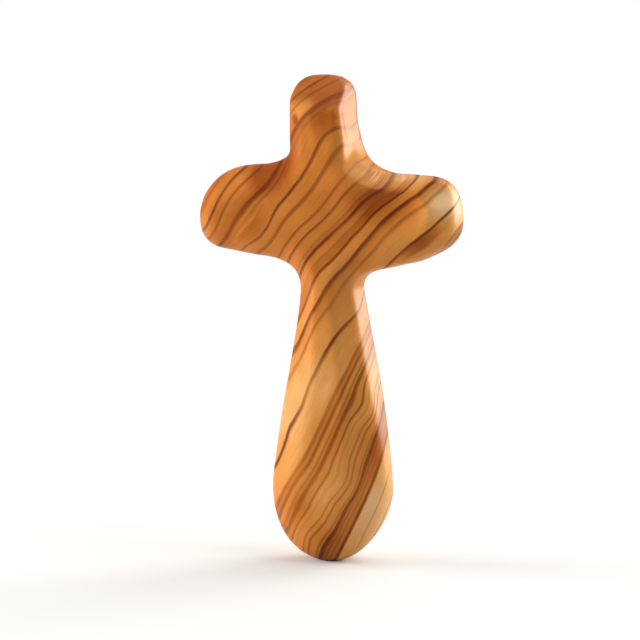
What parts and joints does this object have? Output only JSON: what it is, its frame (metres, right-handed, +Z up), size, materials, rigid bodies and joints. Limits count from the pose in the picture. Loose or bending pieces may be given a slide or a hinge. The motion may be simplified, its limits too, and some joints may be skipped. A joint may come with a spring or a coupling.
{
  "type": "hand cross",
  "caption": "Palm-sized holding cross of solid streaked olive wood, with rounded arms, a short head and a club-shaped shaft that widens down to a small sanded foot.",
  "frame": {"origin": "centre of the overall box in X and Y, at the plane that the foot stands on", "axes": "+Z runs up the shaft to the head, X runs along the arms, and -Y is the front, which the picture shows from 26 degrees towards +X"},
  "size_m": [0.0694, 0.0184, 0.12],
  "materials": {
    "olive_wood": "hand-sanded olive wood with a thin oil finish, satin, dark curved growth rings on amber"
  },
  "bodies": {
    "root": {"cross_body": "olive_wood"}
  },
  "joints": []
}
